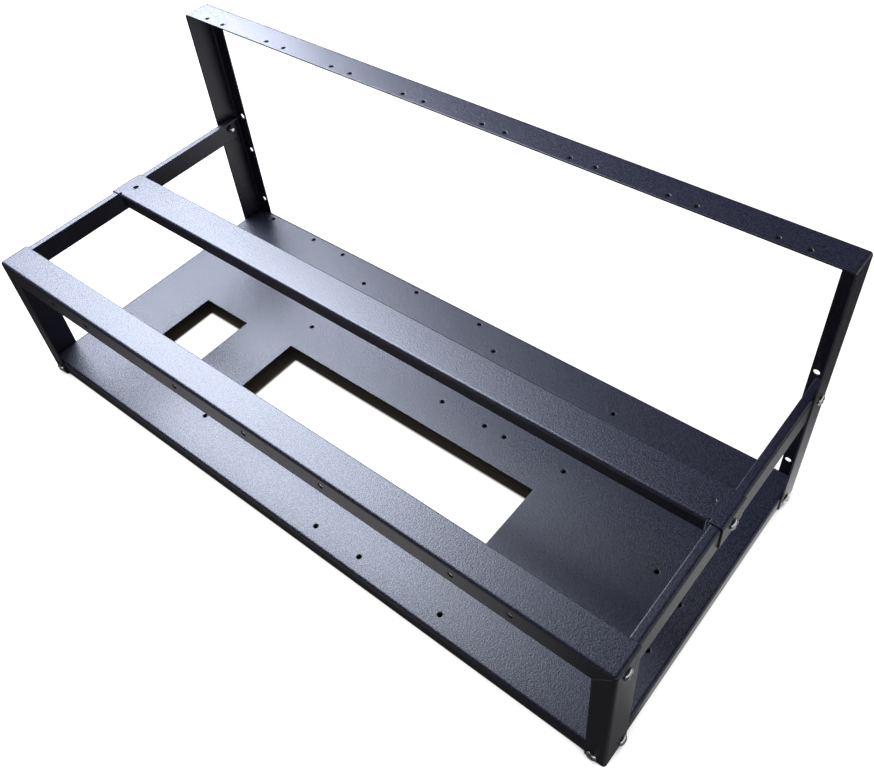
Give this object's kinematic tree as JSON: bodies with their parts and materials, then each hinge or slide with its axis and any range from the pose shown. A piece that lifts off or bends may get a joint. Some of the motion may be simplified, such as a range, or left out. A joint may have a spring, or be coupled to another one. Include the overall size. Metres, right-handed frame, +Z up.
{
  "type": "open computer frame",
  "caption": "Open desktop frame of folded sheet steel: a tray with cut-outs, a low front frame, a tall rear frame, side rails and a middle rail, screwed together.",
  "frame": {"origin": "centre of the bounding box on the floor", "axes": "+X along the length to the right seen from the front, +Y from the low front frame to the tall rear frame, +Z up"},
  "size_m": [0.6106, 0.2756, 0.242],
  "materials": {
    "powder_coat": "black powder coat with a fine even texture on sheet steel, satin",
    "plated_screw": "bright nickel-plated steel with a cross recess"
  },
  "bodies": {
    "root": {"base_tray": "powder_coat", "front_frame": "powder_coat", "rear_frame": "powder_coat", "left_side_rail": "powder_coat", "right_side_rail": "powder_coat", "middle_rail": "powder_coat", "front_rail_screws": "plated_screw", "front_rail_nuts": "powder_coat", "rear_rail_screws": "plated_screw", "rear_rail_nuts": "powder_coat", "middle_tab_screws": "plated_screw", "middle_tab_nuts": "powder_coat", "front_tray_screws": "plated_screw", "front_tray_nuts": "powder_coat", "rear_tray_screws": "plated_screw", "rear_tray_nuts": "powder_coat", "front_face_screws": "plated_screw", "front_face_nuts": "powder_coat", "rear_face_screws": "plated_screw", "rear_face_nuts": "powder_coat"}
  },
  "joints": []
}
